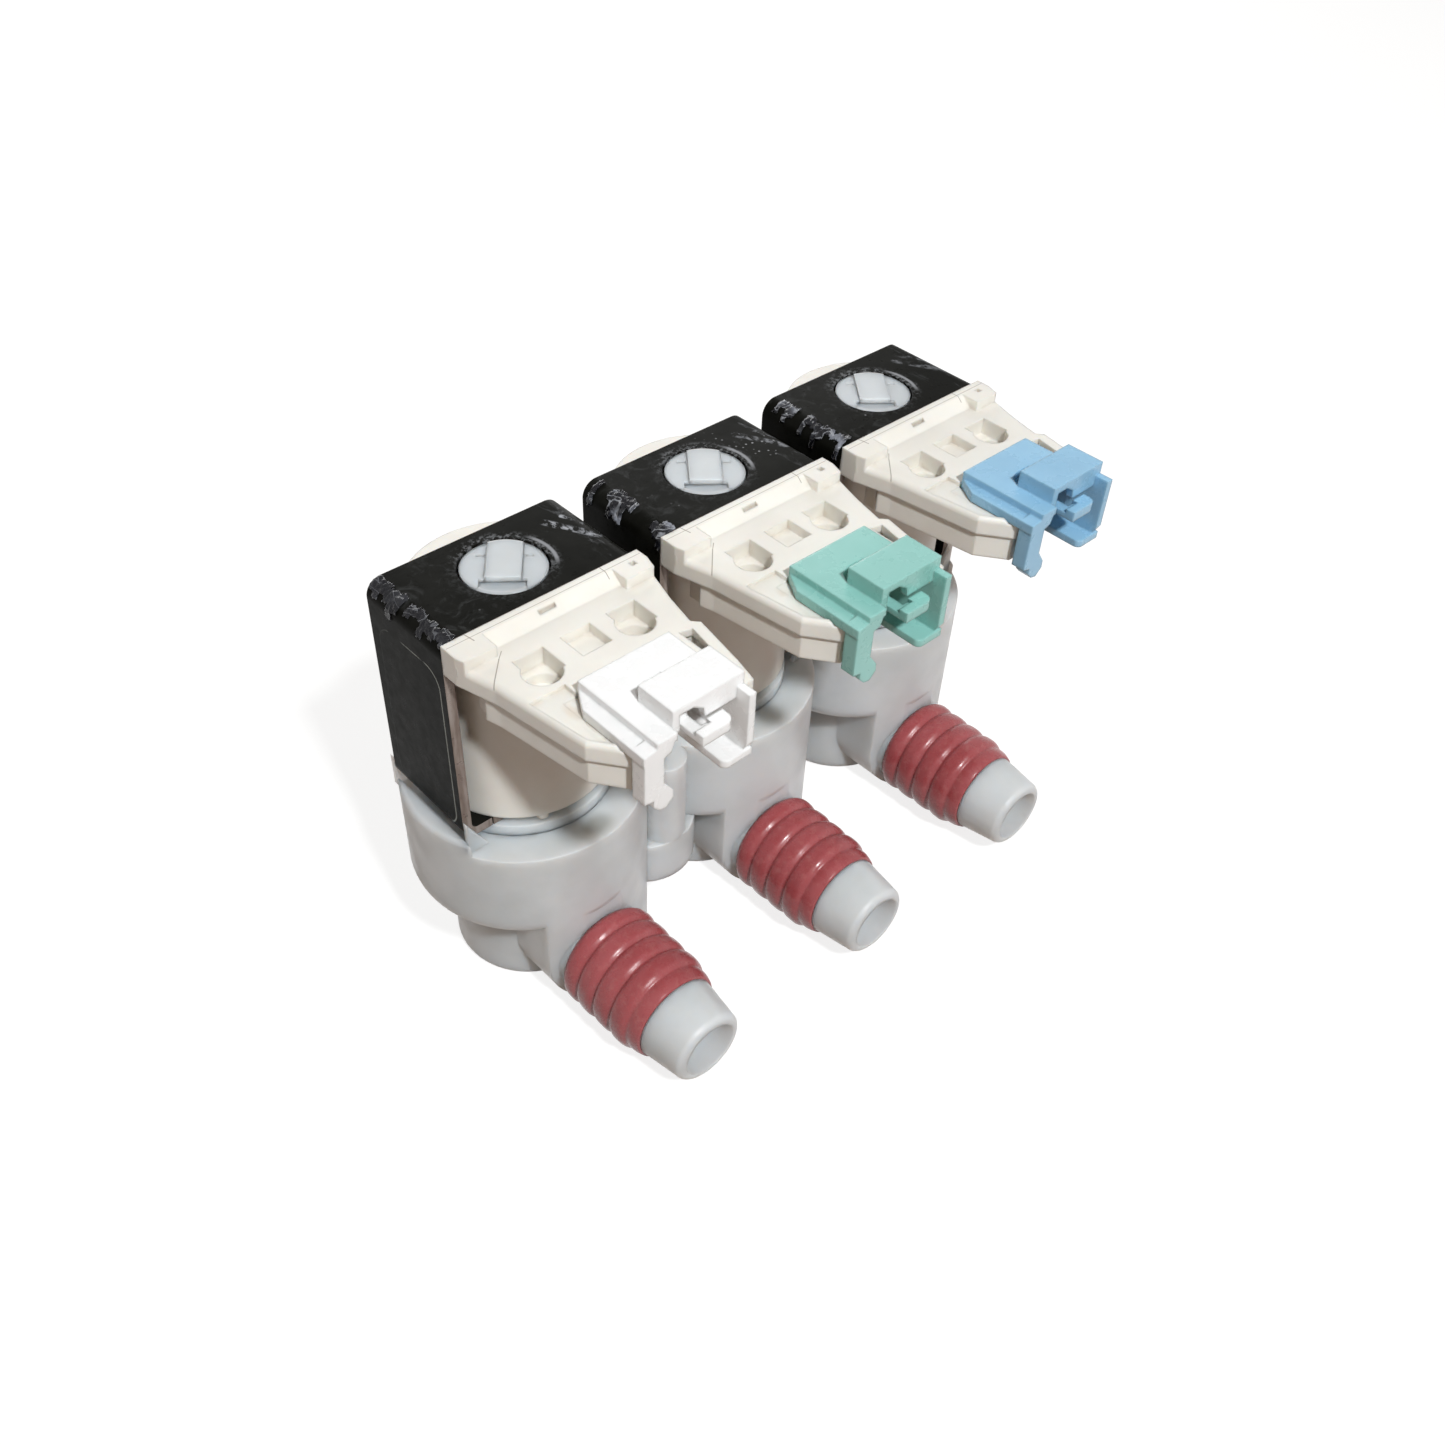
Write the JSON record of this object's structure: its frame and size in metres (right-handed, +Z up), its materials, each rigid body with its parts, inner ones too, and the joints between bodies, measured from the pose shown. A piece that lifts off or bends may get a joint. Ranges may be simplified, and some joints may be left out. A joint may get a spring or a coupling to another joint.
{
  "type": "washing machine inlet valve",
  "caption": "Row of solenoid water valves on one translucent moulded body, with black yokes, cream coils, coloured plug shrouds and red ribbed outlet sleeves.",
  "frame": {"origin": "on the base plane, under the vertical axis of the middle valve", "axes": "+X along the row of valves, +Y towards the inlet, outlets point to -Y, +Z up along the valve axes"},
  "size_m": [0.1134, 0.0882, 0.078],
  "materials": {
    "clear_nylon": "cool translucent grey-white, satin, as moulded",
    "yoke_paint": "black paint on bent steel strip, satin, scuffed at the bends",
    "cream_plastic": "cream cast plastic, fine satin",
    "bobbin_plastic": "plain moulded plastic",
    "copper_wire": "enamelled copper wire",
    "plain_steel": "turned steel",
    "spring_steel": "bright spring wire",
    "black_rubber": "black moulded rubber",
    "insert_plastic": "white moulded plastic",
    "filter_plastic": "white moulded plastic with fine mesh",
    "tinned_brass": "tin-plated brass",
    "red_rubber": "brick-rose rubber, glossy",
    "white_plastic": "white moulded plastic, satin",
    "green_plastic": "mint green moulded plastic, satin",
    "blue_plastic": "light blue moulded plastic, satin"
  },
  "bodies": {
    "valve": {"valve_body": "clear_nylon", "inlet_filter": "filter_plastic", "flow_regulator": "black_rubber", "yoke_1": "yoke_paint", "coil_shell_1": "cream_plastic", "coil_bobbin_1": "bobbin_plastic", "coil_winding_1": "copper_wire", "pole_bushing_1": "plain_steel", "core_tube_1": "clear_nylon", "plunger_spring_1": "spring_steel", "diaphragm_1": "black_rubber", "connector_tray_1": "cream_plastic", "connector_cover_1": "cream_plastic", "terminals_1": "tinned_brass", "plug_shroud_1": "white_plastic", "outlet_sleeve_1": "red_rubber", "yoke_2": "yoke_paint", "coil_shell_2": "cream_plastic", "coil_bobbin_2": "bobbin_plastic", "coil_winding_2": "copper_wire", "pole_bushing_2": "plain_steel", "core_tube_2": "clear_nylon", "plunger_spring_2": "spring_steel", "diaphragm_2": "black_rubber", "connector_tray_2": "cream_plastic", "connector_cover_2": "cream_plastic", "terminals_2": "tinned_brass", "plug_shroud_2": "green_plastic", "outlet_sleeve_2": "red_rubber", "yoke_3": "yoke_paint", "coil_shell_3": "cream_plastic", "coil_bobbin_3": "bobbin_plastic", "coil_winding_3": "copper_wire", "pole_bushing_3": "plain_steel", "core_tube_3": "clear_nylon", "plunger_spring_3": "spring_steel", "diaphragm_3": "black_rubber", "connector_tray_3": "cream_plastic", "connector_cover_3": "cream_plastic", "terminals_3": "tinned_brass", "plug_shroud_3": "blue_plastic", "outlet_sleeve_3": "red_rubber"},
    "plunger_1": {"plunger_1": "plain_steel", "plunger_seal_1": "black_rubber"},
    "insert_1": {"diaphragm_insert_1": "insert_plastic"},
    "plunger_2": {"plunger_2": "plain_steel", "plunger_seal_2": "black_rubber"},
    "insert_2": {"diaphragm_insert_2": "insert_plastic"},
    "plunger_3": {"plunger_3": "plain_steel", "plunger_seal_3": "black_rubber"},
    "insert_3": {"diaphragm_insert_3": "insert_plastic"}
  },
  "joints": [
    {"name": "plunger_lift_1", "type": "slide", "parent": "valve", "child": "plunger_1", "axis": [0, 0, 1], "range_m": [0, 0.0025], "stiffness_N_per_m": 200, "springref_m": -0.01, "deforming": ["plunger_spring_1"]},
    {"name": "diaphragm_lift_1", "type": "slide", "parent": "valve", "child": "insert_1", "axis": [0, 0, 1], "range_m": [0, 0.002], "deforming": ["diaphragm_1"]},
    {"name": "plunger_lift_2", "type": "slide", "parent": "valve", "child": "plunger_2", "axis": [0, 0, 1], "range_m": [0, 0.0025], "stiffness_N_per_m": 200, "springref_m": -0.01, "deforming": ["plunger_spring_2"]},
    {"name": "diaphragm_lift_2", "type": "slide", "parent": "valve", "child": "insert_2", "axis": [0, 0, 1], "range_m": [0, 0.002], "deforming": ["diaphragm_2"]},
    {"name": "plunger_lift_3", "type": "slide", "parent": "valve", "child": "plunger_3", "axis": [0, 0, 1], "range_m": [0, 0.0025], "stiffness_N_per_m": 200, "springref_m": -0.01, "deforming": ["plunger_spring_3"]},
    {"name": "diaphragm_lift_3", "type": "slide", "parent": "valve", "child": "insert_3", "axis": [0, 0, 1], "range_m": [0, 0.002], "deforming": ["diaphragm_3"]}
  ],
  "couplings": [
    {"joint": "diaphragm_lift_1", "follows": "plunger_lift_1", "ratio": 0.8},
    {"joint": "diaphragm_lift_2", "follows": "plunger_lift_2", "ratio": 0.8},
    {"joint": "diaphragm_lift_3", "follows": "plunger_lift_3", "ratio": 0.8}
  ]
}
